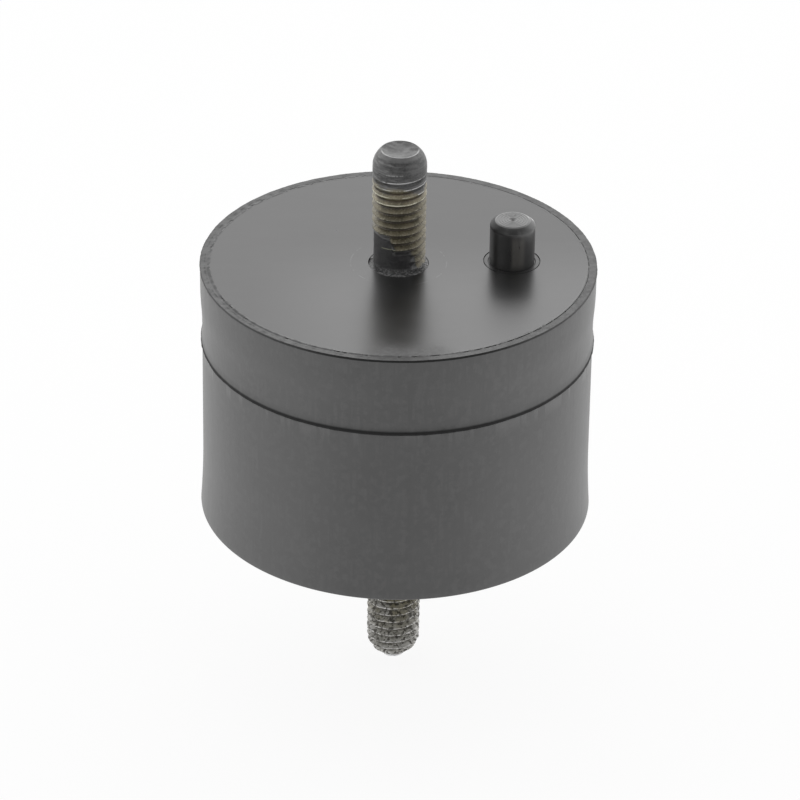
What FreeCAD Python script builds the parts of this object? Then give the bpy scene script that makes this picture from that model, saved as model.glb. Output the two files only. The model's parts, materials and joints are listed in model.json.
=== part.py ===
import FreeCAD, Part
import math
import os

# Round rubber engine mount with a threaded stud at each end and a locating pin on top.
#
# Two steel plates carry the fastenings: a headed stud is pressed into the middle of each plate
# from the rubber side, and a headed pin is pressed into the upper plate beside its stud. The
# plates then go into a mould, and one block of rubber is moulded round them and bonded to them.
#
# Millimetres. +Z is the mount's axis, from the lower stud to the upper stud. The origin is the
# centre of the lower seating face, and +X points from the axis to the locating pin.

# Rubber block
BODY_DIAMETER = 72.0        # across the rims that wrap the plates
BODY_HEIGHT = 49.5          # from seating face to seating face
WAIST_DRAW = 0.45           # the wall shrank in by this much between the plates as it cooled
RIM_WIDTH = 1.7             # rubber outside the edge of each plate
TOP_LIP_HEIGHT = 0.32       # trimmed flash round the top edge
TOP_LIP_PROUD = 0.12
TOP_EDGE_RADIUS = 0.15
UPPER_EASING = 8.0          # height over which the wall draws in, under the upper plate
LOWER_EASING = 12.1         # height over which it swells again to the foot
FOOT_RADIUS = 0.4           # rounding of the bottom edge

# Parting line of the mould, with its trimmed fin of flash
PARTING_DEPTH = 15.0        # below the upper seating face
FLASH_PROUD = 0.33
FLASH_THICKNESS = 0.3
FLASH_ROOT = 1.5            # height of the fillet that leads the wall above into the fin

# Plates
PLATE_THICKNESS = 4.0
PLATE_EDGE_RADIUS = 0.6     # rounding of the pressed blank, on the rubber side

# Studs: the thread is left plain, at its crests
UPPER_STUD_DIAMETER = 9.8
UPPER_STUD_LENGTH = 23.0    # out of the upper seating face
UPPER_LEAD_LENGTH = 3.1     # rolled-over end
UPPER_END_DIAMETER = 6.8
LOWER_STUD_DIAMETER = 9.95
LOWER_STUD_LENGTH = 34.0
LOWER_LEAD_LENGTH = 3.5
LOWER_END_DIAMETER = 4.3
LOWER_NOSE_LENGTH = 0.4     # short straight nose past the lead
UPPER_LEAD_FULLNESS = 0.64  # 0.5 is a straight chamfer, 0.71 a full quarter ellipse
LOWER_LEAD_FULLNESS = 0.635
STUD_END_RIM = 0.15         # width of the rim that rolling left round the dished end
STUD_END_DISH_SLOPE = 0.5   # width of the dish's side
STUD_END_DISH_DEPTH = 0.22
STUD_MOUTH_CLEARANCE = 0.6  # between a stud and the mouth of its hole
STUD_COLLAR_DEPTH = 0.6     # the serrated collar stops this far below the seating face
STUD_NECK_STEP = 0.4        # the neck between collar and thread is this much smaller in radius
SERRATION_COUNT = 36        # teeth that broach the plate and keep the stud from turning
SERRATION_BITE = 0.05       # the roots of the teeth are this much larger in radius than the hole
SERRATION_DEPTH = 0.25
STUD_HEAD_OVERHANG = 4.5    # the head reaches this far past the hole
STUD_HEAD_THICKNESS = 3.2
STUD_HEAD_CHAMFER = 0.6

# Locating pin
PIN_DIAMETER = 8.2
PIN_HEIGHT = 8.4            # out of the upper seating face
PIN_OFFSET = 20.55          # from the mount's axis
PIN_EDGE_RADIUS = 1.3
PIN_DIMPLE_DIAMETER = 1.6   # centre mark left by turning
PIN_DIMPLE_DEPTH = 0.3
PIN_COLLAR_STEP = 1.1       # the collar fills the hole, this much larger in radius than the pin
PIN_COLLAR_DEPTH = 0.05     # the collar stops this far below the seating face
PIN_HEAD_OVERHANG = 1.2
PIN_HEAD_THICKNESS = 1.8
PIN_HEAD_CHAMFER = 0.4

UP = FreeCAD.Vector(0, 0, 1)
ACROSS = FreeCAD.Vector(1, 0, 0)
CENTRE = FreeCAD.Vector(0, 0, 0)


class HalfSection:
    """Outline of a turned solid, drawn point by point in the plane of radius and height."""

    def __init__(self, radius, height):
        self.start = (radius, height)
        self.pen = self.start
        self.edges = []

    def line_to(self, radius, height):
        self.edges.append(Part.LineSegment(self.vector(self.pen), self.vector((radius, height))).toShape())
        self.pen = (radius, height)

    def arc_to(self, through, end):
        points = [self.vector(self.pen), self.vector(through), self.vector(end)]
        self.edges.append(Part.Arc(*points).toShape())
        self.pen = end

    def round_to(self, radius, height, corner):
        """A quarter round to the given point, bulging towards the corner that it takes away."""
        middle = [start + end - apex for start, end, apex in zip(self.pen, (radius, height), corner)]
        through = [inner + (apex - inner) / math.sqrt(2) for inner, apex in zip(middle, corner)]
        self.arc_to(tuple(through), (radius, height))

    def leave_upright_to(self, radius, height):
        """An arc that starts parallel to the axis."""
        self.arc_to(halfway_round(self.pen, (radius, height)), (radius, height))

    def arrive_upright_to(self, radius, height):
        """An arc that ends parallel to the axis."""
        self.arc_to(halfway_round((radius, height), self.pen), (radius, height))

    def ease_to(self, radius, height):
        """Two equal arcs that start and end parallel to the axis."""
        start_radius, start_height = self.pen
        self.leave_upright_to((start_radius + radius) / 2, (start_height + height) / 2)
        self.arrive_upright_to(radius, height)

    def turned(self):
        """The solid that the outline sweeps in one turn about the axis."""
        if self.pen != self.start:
            self.line_to(*self.start)
        return Part.Face(Part.Wire(self.edges)).revolve(CENTRE, UP, 360)

    @staticmethod
    def vector(point):
        radius, height = point
        return FreeCAD.Vector(radius, 0, height)


def halfway_round(upright_end, other_end):
    """Middle point of the arc between two points that is parallel to the axis at the first."""
    across = other_end[0] - upright_end[0]
    along = other_end[1] - upright_end[1]
    radius = (across**2 + along**2) / (2 * abs(across))
    half_turn = math.asin(min(1.0, abs(along) / radius)) / 2
    return (upright_end[0] + math.copysign(radius * (1 - math.cos(half_turn)), across),
            upright_end[1] + math.copysign(radius * math.sin(half_turn), along))


def lower_end(shape):
    """The same piece turned over, for the lower end of the mount."""
    flipped = shape.copy()
    flipped.rotate(CENTRE, ACROSS, 180)
    return flipped


def at_upper_end(shape):
    """A piece drawn from its seating face, moved to the upper end of the mount."""
    raised = shape.copy()
    raised.translate(UP * BODY_HEIGHT)
    return raised


def steel_plate():
    """The pressed blank, with its seating face at height 0 and the rubber side below."""
    radius = BODY_DIAMETER / 2 - RIM_WIDTH
    blank = HalfSection(0, 0)
    blank.line_to(radius, 0)
    blank.line_to(radius, PLATE_EDGE_RADIUS - PLATE_THICKNESS)
    blank.round_to(radius - PLATE_EDGE_RADIUS, -PLATE_THICKNESS, (radius, -PLATE_THICKNESS))
    blank.line_to(0, -PLATE_THICKNESS)
    return blank.turned()


def serrated_collar(diameter):
    """The ring of teeth round a stud, from the rubber side of the plate to just below its face."""
    root = diameter / 2 + STUD_MOUTH_CLEARANCE + SERRATION_BITE
    corners = []
    for step in range(2 * SERRATION_COUNT):
        radius = root + SERRATION_DEPTH * (step % 2)
        angle = math.pi * step / SERRATION_COUNT
        corners.append(FreeCAD.Vector(radius * math.cos(angle), radius * math.sin(angle), -PLATE_THICKNESS))
    ring = Part.Face(Part.makePolygon(corners + corners[:1]))
    return ring.extrude(UP * (PLATE_THICKNESS - STUD_COLLAR_DEPTH))


def stud_hole(diameter):
    """What a stud takes out of its plate: a plain mouth, and the seat of the serrated collar."""
    mouth = diameter / 2 + STUD_MOUTH_CLEARANCE
    return [serrated_collar(diameter), Part.makeCylinder(mouth, STUD_COLLAR_DEPTH, UP * -STUD_COLLAR_DEPTH)]


def pin_hole():
    """The plain hole for the pin's collar, moved out to the pin's place."""
    hole = Part.makeCylinder(PIN_DIAMETER / 2 + PIN_COLLAR_STEP, PLATE_THICKNESS, UP * -PLATE_THICKNESS)
    hole.translate(ACROSS * PIN_OFFSET)
    return hole


def stud(diameter, length, lead_length, end_diameter, fullness, nose_length):
    """A headed press-in stud, standing up out of a seating face at height 0."""
    radius = diameter / 2
    head = radius + STUD_MOUTH_CLEARANCE + STUD_HEAD_OVERHANG
    head_bottom = -PLATE_THICKNESS - STUD_HEAD_THICKNESS
    end_radius = end_diameter / 2
    lead_width = radius - end_radius
    outline = HalfSection(0, head_bottom)
    outline.line_to(head - STUD_HEAD_CHAMFER, head_bottom)
    outline.line_to(head, head_bottom + STUD_HEAD_CHAMFER)
    outline.line_to(head, -PLATE_THICKNESS)
    outline.line_to(radius - STUD_NECK_STEP, -PLATE_THICKNESS)
    outline.line_to(radius - STUD_NECK_STEP, -STUD_NECK_STEP)
    outline.line_to(radius, 0)
    lead_end = length - nose_length
    outline.line_to(radius, lead_end - lead_length)
    shoulder = (end_radius + lead_width * fullness, lead_end - lead_length * (1 - fullness))
    outline.arc_to(shoulder, (end_radius, lead_end))
    if nose_length:
        outline.line_to(end_radius, length)
    dish = end_radius - STUD_END_RIM
    outline.line_to(dish, length)
    outline.line_to(dish - STUD_END_DISH_SLOPE, length - STUD_END_DISH_DEPTH)
    outline.line_to(0, length - STUD_END_DISH_DEPTH)
    return outline.turned().fuse(serrated_collar(diameter)).removeSplitter()


def locating_pin():
    """A headed press-in pin, standing up out of a seating face at height 0."""
    radius = PIN_DIAMETER / 2
    collar = radius + PIN_COLLAR_STEP
    head = collar + PIN_HEAD_OVERHANG
    head_bottom = -PLATE_THICKNESS - PIN_HEAD_THICKNESS
    outline = HalfSection(0, head_bottom)
    outline.line_to(head - PIN_HEAD_CHAMFER, head_bottom)
    outline.line_to(head, head_bottom + PIN_HEAD_CHAMFER)
    outline.line_to(head, -PLATE_THICKNESS)
    outline.line_to(collar, -PLATE_THICKNESS)
    outline.line_to(collar, -PIN_COLLAR_DEPTH)
    outline.line_to(radius, -PIN_COLLAR_DEPTH)
    outline.line_to(radius, PIN_HEIGHT - PIN_EDGE_RADIUS)
    outline.round_to(radius - PIN_EDGE_RADIUS, PIN_HEIGHT, (radius, PIN_HEIGHT))
    outline.line_to(PIN_DIMPLE_DIAMETER / 2, PIN_HEIGHT)
    outline.line_to(0, PIN_HEIGHT - PIN_DIMPLE_DEPTH)
    pin = outline.turned()
    pin.translate(ACROSS * PIN_OFFSET)
    return pin


def rubber_envelope():
    """The outside of the rubber block, as the mould leaves it, with nothing let into it."""
    rim = BODY_DIAMETER / 2
    wrap = rim - TOP_LIP_PROUD
    waist = rim - WAIST_DRAW
    lip_bottom = BODY_HEIGHT - TOP_LIP_HEIGHT
    parting = BODY_HEIGHT - PARTING_DEPTH
    fin_top = parting + FLASH_THICKNESS / 2
    fin_bottom = parting - FLASH_THICKNESS / 2
    plate_bottom = BODY_HEIGHT - PLATE_THICKNESS
    outline = HalfSection(0, BODY_HEIGHT)
    outline.line_to(rim - TOP_EDGE_RADIUS, BODY_HEIGHT)
    outline.round_to(rim, BODY_HEIGHT - TOP_EDGE_RADIUS, (rim, BODY_HEIGHT))
    outline.line_to(rim, lip_bottom)
    outline.line_to(wrap, lip_bottom - TOP_LIP_PROUD)
    outline.line_to(wrap, plate_bottom)
    outline.ease_to(waist, plate_bottom - UPPER_EASING)
    outline.line_to(waist, fin_top + FLASH_ROOT)
    outline.leave_upright_to(waist + FLASH_PROUD, fin_top)
    outline.line_to(waist + FLASH_PROUD, fin_bottom)
    outline.line_to(waist, fin_bottom - FLASH_PROUD)
    outline.line_to(waist, FOOT_RADIUS + LOWER_EASING)
    outline.leave_upright_to(rim, FOOT_RADIUS)
    outline.round_to(rim - FOOT_RADIUS, 0, (rim, 0))
    outline.line_to(0, 0)
    return outline.turned()


def build():
    """Every piece of the mount by name."""
    blank = steel_plate()
    upper_plate = at_upper_end(blank.cut(stud_hole(UPPER_STUD_DIAMETER) + [pin_hole()]))
    lower_plate = lower_end(blank.cut(stud_hole(LOWER_STUD_DIAMETER)))
    upper_stud = at_upper_end(stud(UPPER_STUD_DIAMETER, UPPER_STUD_LENGTH, UPPER_LEAD_LENGTH,
                                   UPPER_END_DIAMETER, UPPER_LEAD_FULLNESS, 0))
    lower_stud = lower_end(stud(LOWER_STUD_DIAMETER, LOWER_STUD_LENGTH, LOWER_LEAD_LENGTH,
                                LOWER_END_DIAMETER, LOWER_LEAD_FULLNESS, LOWER_NOSE_LENGTH))
    pin = at_upper_end(locating_pin())
    blanks = [at_upper_end(blank), lower_end(blank)]
    rubber_body = rubber_envelope().cut(blanks + [upper_stud, lower_stud, pin])
    return {
        "rubber_body": rubber_body,
        "upper_plate": upper_plate,
        "lower_plate": lower_plate,
        "upper_stud": upper_stud,
        "lower_stud": lower_stud,
        "locating_pin": pin,
    }


os.makedirs("parts", exist_ok=True)
for name, shape in build().items():
    for solid in shape.Solids:
        print(f"{name}: volume {solid.Volume:.1f} mm3, closed and valid {solid.isValid()}")
    shape.exportStep(f"parts/{name}.step")
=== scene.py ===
import json
import math

import bmesh
import bpy
from mathutils import Matrix, Vector, noise


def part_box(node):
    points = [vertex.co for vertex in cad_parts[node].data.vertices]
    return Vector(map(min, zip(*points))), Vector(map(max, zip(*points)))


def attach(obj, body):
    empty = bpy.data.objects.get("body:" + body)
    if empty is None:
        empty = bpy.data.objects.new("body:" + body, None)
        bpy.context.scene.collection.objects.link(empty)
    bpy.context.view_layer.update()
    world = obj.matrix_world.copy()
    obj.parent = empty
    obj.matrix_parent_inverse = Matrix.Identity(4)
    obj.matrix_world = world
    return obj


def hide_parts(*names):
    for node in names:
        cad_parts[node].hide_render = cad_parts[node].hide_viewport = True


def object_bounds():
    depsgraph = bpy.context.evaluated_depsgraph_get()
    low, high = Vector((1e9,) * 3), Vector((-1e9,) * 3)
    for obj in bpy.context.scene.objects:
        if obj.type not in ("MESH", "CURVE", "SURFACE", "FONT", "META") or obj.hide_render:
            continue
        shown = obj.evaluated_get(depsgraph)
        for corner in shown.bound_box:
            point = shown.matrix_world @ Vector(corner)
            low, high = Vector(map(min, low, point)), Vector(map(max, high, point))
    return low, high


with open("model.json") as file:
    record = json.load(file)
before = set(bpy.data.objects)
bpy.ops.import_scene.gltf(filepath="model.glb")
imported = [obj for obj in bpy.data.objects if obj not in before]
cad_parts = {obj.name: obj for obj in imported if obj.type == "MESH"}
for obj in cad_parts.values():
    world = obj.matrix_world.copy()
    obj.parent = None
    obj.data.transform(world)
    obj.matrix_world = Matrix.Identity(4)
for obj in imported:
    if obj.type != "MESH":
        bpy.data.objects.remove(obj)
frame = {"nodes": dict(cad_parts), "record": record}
cad_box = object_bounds()

# Round rubber engine mount: a rubber block moulded round two steel plates, with a threaded stud
# pressed into each plate and a locating pin beside the upper stud. Lengths are in metres. The
# mount's axis is Z, its lower seat is at zero, and the locating pin stands on the +X side.

MM = 0.001
FULL_TURN = 2 * math.pi
AXIS = Vector((0, 0, 1))
SHARP_ANGLE = math.radians(40)
MERGE_DISTANCE = 0.0005 * MM
POLE_RADIUS = 0.0001 * MM
NEAR = 0.01 * MM  # tells one row of points from the next


# ---------------------------------------------------------------- sizes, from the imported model

def mount_size(name, key):
    """A size of one of the mounts in the record, in metres."""
    mount = next(row for row in frame["record"]["mounts"] if row["name"] == name)
    return mount["dims"][key] * MM


def reach(node):
    """Half the width of a node across the mount's axis, on its narrower side."""
    low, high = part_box(node)
    return min(high.x - low.x, high.y - low.y) / 2


class Stud:
    """The sizes of a stud. Heights run outwards from its seat, and its depth goes into the block."""

    def __init__(self, node, seat, place, end, fullness, nose, thread_start, run_out):
        low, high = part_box(node)
        self.node, self.place = node, place
        self.depth, self.length = sorted((high.z - seat, seat - low.z))
        self.radius = mount_size(node, "r_mm")
        self.threaded = mount_size(node, "length_mm")
        self.head = reach(node)
        self.end = end  # radius of the end face
        self.fullness = fullness  # how full the rolled-over end is; a half would be a plain cone
        self.nose = nose  # length of the plain nose past the rolled-over end
        self.thread_start = thread_start  # height of the thread's first root
        # Heights at which the thread has run out and is whole, from distances back from the end.
        self.run_out = [self.length - back for back in run_out]


RIM_RADIUS = reach("rubber_body")
SEAT_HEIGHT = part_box("rubber_body")[1].z
PLATE_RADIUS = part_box("upper_plate")[1].x
PLATE_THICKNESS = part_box("lower_plate")[1].z
UPPER = Stud("upper_stud", SEAT_HEIGHT, Matrix.Translation((0, 0, SEAT_HEIGHT)), end=3.4 * MM,
             fullness=0.64, nose=0, thread_start=0.2 * MM, run_out=(3.4 * MM, 12.5 * MM))
LOWER = Stud("lower_stud", 0, Matrix.Rotation(math.pi, 4, "X"), end=2.15 * MM,
             fullness=0.635, nose=0.4 * MM, thread_start=-0.47 * MM, run_out=(0.45 * MM, 1.9 * MM))

pin_low, pin_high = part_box("locating_pin")
PIN_OFFSET = (pin_low.x + pin_high.x) / 2
PIN_RADIUS = mount_size("locating_pin", "r_mm")
PIN_HEIGHT = pin_high.z - SEAT_HEIGHT
PIN_DEPTH = SEAT_HEIGHT - pin_low.z
PIN_HEAD = reach("locating_pin")


# ---------------------------------------------------------------- modelling

def ripple(angle, pace, seed):
    """Smooth unevenness round the mount, from -1 to 1, the same again after a full turn."""
    return noise.noise(Vector((pace * math.cos(angle), pace * math.sin(angle), seed)))


def ragged(angle, ripples):
    """Unevenness made of several ripples, each given as its height, pace and seed."""
    return sum(height * ripple(angle, pace, seed) for height, pace, seed in ripples)


def smooth_step(low, high, value):
    """0 at low and 1 at high, smoothly; high may be the smaller."""
    share = min(1, max(0, (value - low) / (high - low)))
    return share * share * (3 - 2 * share)


class Outline(list):
    """Half the section of a turned shape, as (radius, height) points in order."""

    def to(self, *points):
        """Adds points as they are given."""
        self.extend(points)

    def straight(self, end, count):
        """Adds evenly spaced points as far as the end."""
        start = self[-1]
        self.extend([tuple(a + (b - a) * step / count for a, b in zip(start, end))
                     for step in range(1, count + 1)])

    def arc(self, end, count, leave_upright):
        """Adds an arc as far as the end. It runs upright where it leaves, or else where it ends."""
        upright, other = (self[-1], end) if leave_upright else (end, self[-1])
        across, along = other[0] - upright[0], other[1] - upright[1]
        bend = (across**2 + along**2) / (2 * abs(across))
        sweep = math.asin(min(1, abs(along) / bend))
        points = []
        for step in range(count + 1):
            turn = sweep * step / count
            points.append((upright[0] + math.copysign(bend * (1 - math.cos(turn)), across),
                           upright[1] + math.copysign(bend * math.sin(turn), along)))
        self.extend((points if leave_upright else points[::-1])[1:])


def strip(mesh, points):
    """Adds (radius, height) points to a mesh, joined in order by edges."""
    verts = [mesh.verts.new((radius, 0, height)) for radius, height in points]
    for start, end in zip(verts, verts[1:]):
        mesh.edges.new((start, end))


def copied(mesh, place):
    """Adds a copy of everything, moved."""
    copy = bmesh.ops.duplicate(mesh, geom=mesh.verts[:] + mesh.edges[:] + mesh.faces[:])["geom"]
    points = [part for part in copy if isinstance(part, bmesh.types.BMVert)]
    bmesh.ops.transform(mesh, matrix=place, verts=points)


def turned(outline, steps):
    """A new mesh: an outline spun round the mount's axis, an eighth of a turn that is copied round."""
    mesh = bmesh.new()
    strip(mesh, outline)
    bmesh.ops.spin(mesh, geom=mesh.verts[:] + mesh.edges[:], cent=(0, 0, 0), axis=AXIS,
                   angle=FULL_TURN / 8, steps=steps // 8)
    for share in (8, 4, 2):
        copied(mesh, Matrix.Rotation(FULL_TURN / share, 4, "Z"))
    closed_up(mesh)
    return mesh


def closed_up(mesh):
    """Merges the seams and poles, then turns every face outwards."""
    bmesh.ops.remove_doubles(mesh, verts=mesh.verts, dist=MERGE_DISTANCE)
    bmesh.ops.recalc_face_normals(mesh, faces=mesh.faces)


def new_object(name, mesh, finish):
    """Makes a mesh into an object with its finish."""
    data = bpy.data.meshes.new(name)
    mesh.to_mesh(data)
    mesh.free()
    data.materials.append(finish)
    made = bpy.data.objects.new(name, data)
    bpy.context.scene.collection.objects.link(made)
    return made


def finished_piece(name, mesh, finish, node):
    """Makes a mesh into a piece that stands for a CAD node, shaded smooth but for its sharp edges."""
    piece = new_object(name, mesh, finish)
    piece.data.shade_smooth()
    piece.data.set_sharp_from_angle(angle=SHARP_ANGLE)
    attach(piece, "root")
    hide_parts(node)


# ---------------------------------------------------------------- rubber block

BLOCK_STEPS = 720
LIP_PROUD = 0.12 * MM
LIP_HEIGHT = 0.32 * MM
LIP_EDGE = 0.15 * MM
WRAP_RADIUS = RIM_RADIUS - LIP_PROUD
WAIST_RADIUS = RIM_RADIUS - 0.45 * MM
UPPER_EASING = 8.0 * MM
LOWER_EASING = 12.1 * MM
FOOT_RADIUS = 0.4 * MM
PARTING_HEIGHT = SEAT_HEIGHT - 15.0 * MM
FIN_PROUD = 0.33 * MM
FIN_THICKNESS = 0.3 * MM
FIN_TOP = PARTING_HEIGHT + FIN_THICKNESS / 2
FIN_BOTTOM = PARTING_HEIGHT - FIN_THICKNESS / 2
FIN_ROOT = 1.5 * MM
PLATE_EDGE = 0.6 * MM
PLATE_BOTTOM = SEAT_HEIGHT - PLATE_THICKNESS
HEAD_CHAMFER = 0.6 * MM
GROOVE_WIDTH = 0.22 * MM
GROOVE_DEPTH = 0.16 * MM
GROOVE_EDGE = 0.02 * MM
FILM_WIDTH = 0.4 * MM
FILM_HEIGHT = 0.03 * MM
# The film of rubber over the plate's edge starts folded away in the groove: how far in its tip and its
# middle lie from the edge of the plate, and how deep, as shares of the groove's depth.
FILM_TIP, FILM_TIP_DEPTH = 0.01 * MM, 0.9
FILM_MIDDLE, FILM_MIDDLE_DEPTH = 0.005 * MM, 0.85
FILM_MIDDLE_TRAVEL = 0.6

# How near the parting line a point belongs to the fin, how near the top to the lip, and how far out from
# the axis to the film.
FIN_ZONE = 1.2 * MM
LIP_ZONE = 0.8 * MM
FILM_ZONE = PLATE_RADIUS + 0.6 * GROOVE_WIDTH
# Unevenness is the (height, pace, seed) of its ripples, after what they are added to: the share of the
# fin that is left, and the millimetres that the lip has lost. The ring's measures are in millimetres.
FIN_LEFT, FIN_CUT = 0.86, ((0.12, 5, 3.1), (0.2, 24, 7.7), (0.14, 90, 1.3))
FIN_BEND = ((0.05, 7, 5.2), (0.04, 40, 2.4))
LIP_LOST, LIP_CUT = 0.03, ((0.05, 60, 8.8), (0.04, 14, 4.4))
RING_WAVES = ((0.05, 70, 3.8),)
RING_SUNK, RING_DIP, RING_PACE, RING_SEED = 0.015, 0.02, 50, 5.5
# The film's mean cover, how much more and less it is away from THIN_SIDE and on it, and the softness of
# its edge; then how far it reaches, as a share of its width.
THIN_SIDE = math.radians(20)
FILM_MEAN, FILM_LEAN, FILM_EDGE = 0.16, 0.3, 0.35
FILM_PATCHES = ((0.6, 26, 2.2), (0.45, 80, 6.1))
FILM_REACH, FILM_FRINGE = 0.7, ((0.5, 60, 9.3),)


def top_outline(outline):
    """Over the upper stud's head, round the plate, and across the ring of rubber to the wall."""
    ceiling = SEAT_HEIGHT - UPPER.depth
    outline.to((0, ceiling), (UPPER.head - HEAD_CHAMFER, ceiling), (UPPER.head, ceiling + HEAD_CHAMFER),
               (UPPER.head, PLATE_BOTTOM), (PLATE_RADIUS - PLATE_EDGE, PLATE_BOTTOM))
    outline.arc((PLATE_RADIUS, PLATE_BOTTOM + PLATE_EDGE), 4, leave_upright=False)
    outline.to((PLATE_RADIUS, SEAT_HEIGHT - GROOVE_DEPTH),
               (PLATE_RADIUS - FILM_TIP, SEAT_HEIGHT - FILM_TIP_DEPTH * GROOVE_DEPTH),
               (PLATE_RADIUS - FILM_MIDDLE, SEAT_HEIGHT - FILM_MIDDLE_DEPTH * GROOVE_DEPTH),
               (PLATE_RADIUS + GROOVE_WIDTH / 2, SEAT_HEIGHT - GROOVE_DEPTH),
               (PLATE_RADIUS + GROOVE_WIDTH, SEAT_HEIGHT - GROOVE_EDGE))
    outline.straight((RIM_RADIUS - LIP_EDGE, SEAT_HEIGHT), 7)
    outline.arc((RIM_RADIUS, SEAT_HEIGHT - LIP_EDGE), 4, leave_upright=False)


def wall_outline(outline):
    """Down the wall: the lip, the wrap round the plate, the waist with the mould's fin, and the foot."""
    lip_bottom = SEAT_HEIGHT - LIP_HEIGHT
    outline.to((RIM_RADIUS, lip_bottom), (WRAP_RADIUS, lip_bottom - LIP_PROUD))
    outline.straight((WRAP_RADIUS, PLATE_BOTTOM), 4)
    outline.arc(((WRAP_RADIUS + WAIST_RADIUS) / 2, PLATE_BOTTOM - UPPER_EASING / 2), 6, leave_upright=True)
    outline.arc((WAIST_RADIUS, PLATE_BOTTOM - UPPER_EASING), 6, leave_upright=False)
    outline.straight((WAIST_RADIUS, FIN_TOP + FIN_ROOT), 2)
    outline.arc((WAIST_RADIUS + FIN_PROUD, FIN_TOP), 12, leave_upright=True)
    outline.straight((WAIST_RADIUS + FIN_PROUD, FIN_BOTTOM), 2)
    outline.straight((WAIST_RADIUS, FIN_BOTTOM - FIN_PROUD), 3)
    outline.straight((WAIST_RADIUS, FOOT_RADIUS + LOWER_EASING), 8)
    outline.arc((RIM_RADIUS, FOOT_RADIUS), 12, leave_upright=True)
    outline.arc((RIM_RADIUS - FOOT_RADIUS, 0), 6, leave_upright=True)


def foot_outline(outline):
    """Under the foot, round the lower plate, and over the lower stud's head."""
    outline.to((PLATE_RADIUS, 0), (PLATE_RADIUS, PLATE_THICKNESS - PLATE_EDGE))
    outline.arc((PLATE_RADIUS - PLATE_EDGE, PLATE_THICKNESS), 4, leave_upright=True)
    outline.to((LOWER.head, PLATE_THICKNESS), (LOWER.head, LOWER.depth - HEAD_CHAMFER),
               (LOWER.head - HEAD_CHAMFER, LOWER.depth), (0, LOWER.depth))


def trimmed_fin(radius, height, angle):
    """The fin, cut back by hand and bent a little up or down."""
    proud = radius - WAIST_RADIUS
    bent = proud / FIN_PROUD * ragged(angle, FIN_BEND) * MM
    return WAIST_RADIUS + proud * (FIN_LEFT + ragged(angle, FIN_CUT)), height + bent


def trimmed_lip(radius, height, angle):
    """The lip round the top, cut back by hand."""
    return radius - (LIP_LOST + ragged(angle, LIP_CUT)) * MM, height


def film_cover(angle):
    """How far rubber has crept over the plate's edge, from 0 to 1; most of it away from the pin."""
    leaning = FILM_MEAN - FILM_LEAN * math.cos(angle - THIN_SIDE)
    return smooth_step(0, FILM_EDGE, leaning + ragged(angle, FILM_PATCHES))


def crept_film(radius, height, angle):
    """The groove round the plate, filled and run over by a film of rubber where the film covers it."""
    cover = film_cover(angle)
    at_tip = radius < PLATE_RADIUS - (FILM_TIP + FILM_MIDDLE) / 2
    crept = SEAT_HEIGHT + (0 if at_tip else FILM_HEIGHT)
    if radius < PLATE_RADIUS - FILM_MIDDLE / 2:
        reached = cover * FILM_WIDTH * (FILM_REACH + ragged(angle, FILM_FRINGE))
        radius -= reached * (1 if at_tip else FILM_MIDDLE_TRAVEL)
    return radius, height + (crept - height) * cover


def uneven_ring(radius, height, angle):
    """The ring of rubber round the plate, a little wavy; each row of its points has dips of its own."""
    sunk = RING_SUNK + RING_DIP * ripple(angle, RING_PACE, RING_SEED + 2 * radius / MM)
    return radius + ragged(angle, RING_WAVES) * MM, height - sunk * MM


def uneven_rubber(mesh):
    """Moves the rubber's fin, lip, film and ring off their true circles."""
    for point in mesh.verts:
        radius, height = point.co.xy.length, point.co.z
        if radius < PLATE_RADIUS - 2 * NEAR:
            continue
        if abs(height - PARTING_HEIGHT) < FIN_ZONE and radius > WAIST_RADIUS + 2 * NEAR:
            moved = trimmed_fin
        elif height > SEAT_HEIGHT - LIP_ZONE and radius > WRAP_RADIUS - NEAR:
            moved = trimmed_lip
        elif height > SEAT_HEIGHT - GROOVE_DEPTH - NEAR:
            moved = crept_film if radius < FILM_ZONE else uneven_ring
        else:
            continue
        new_radius, point.co.z = moved(radius, height, math.atan2(point.co.y, point.co.x))
        point.co.xy *= min(new_radius, RIM_RADIUS) / radius


def rubber_block(finish):
    """The block, hollow where the plates and the heads of the studs are bonded in."""
    outline = Outline()
    top_outline(outline)
    wall_outline(outline)
    foot_outline(outline)
    mesh = turned(outline, BLOCK_STEPS)
    uneven_rubber(mesh)
    finished_piece("rubber_block", mesh, finish, "rubber_body")


# ---------------------------------------------------------------- studs

PITCH = 1.5 * MM
THREAD_DEPTH = 0.9 * MM
THREAD_STEPS = 144
THREAD_LEAD_IN = 2 * PITCH
CUT_TOLERANCE = 0.001 * MM
# One pitch of the rolled thread: height in pitches, and depth below the crest as a share of the whole.
THREAD_FORM = ((0, 1), (0.06, 0.98), (0.12, 0.9), (0.17, 0.78), (0.29, 0.43), (0.4, 0.12), (0.45, 0.02),
               (0.55, 0.02), (0.6, 0.12), (0.71, 0.43), (0.83, 0.78), (0.88, 0.9), (0.94, 0.98), (1, 1))
# The lumps of a thread's worn surface as their height in millimetres and their pace, and the pace of the
# pits and of the deeper patches among them.
THREAD_LUMPS = ((0.025, 1400), (0.03, 500))
PIT_PACE, PIT_PATCH_PACE = 2100, 700

# The coated shank at the foot of the upper stud. It has no thread, except on the side of BARE_SIDE, and
# it is higher on the side away from the pin: cosines of the angles between which it comes and it rises.
SHANK_STEP = 0.36 * MM
SHANK_HEIGHT = 3.5 * MM
SHANK_FADE = 0.8 * MM
SHANK_RISE = 3.4 * MM
SHANK_EDGE = ((0.3, 3, 2.7),)
BARE_SIDE = math.radians(-15)
SHANK_COMES = (0.86, 0.58)
SHANK_RISES = (-0.22, -0.42)

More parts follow.
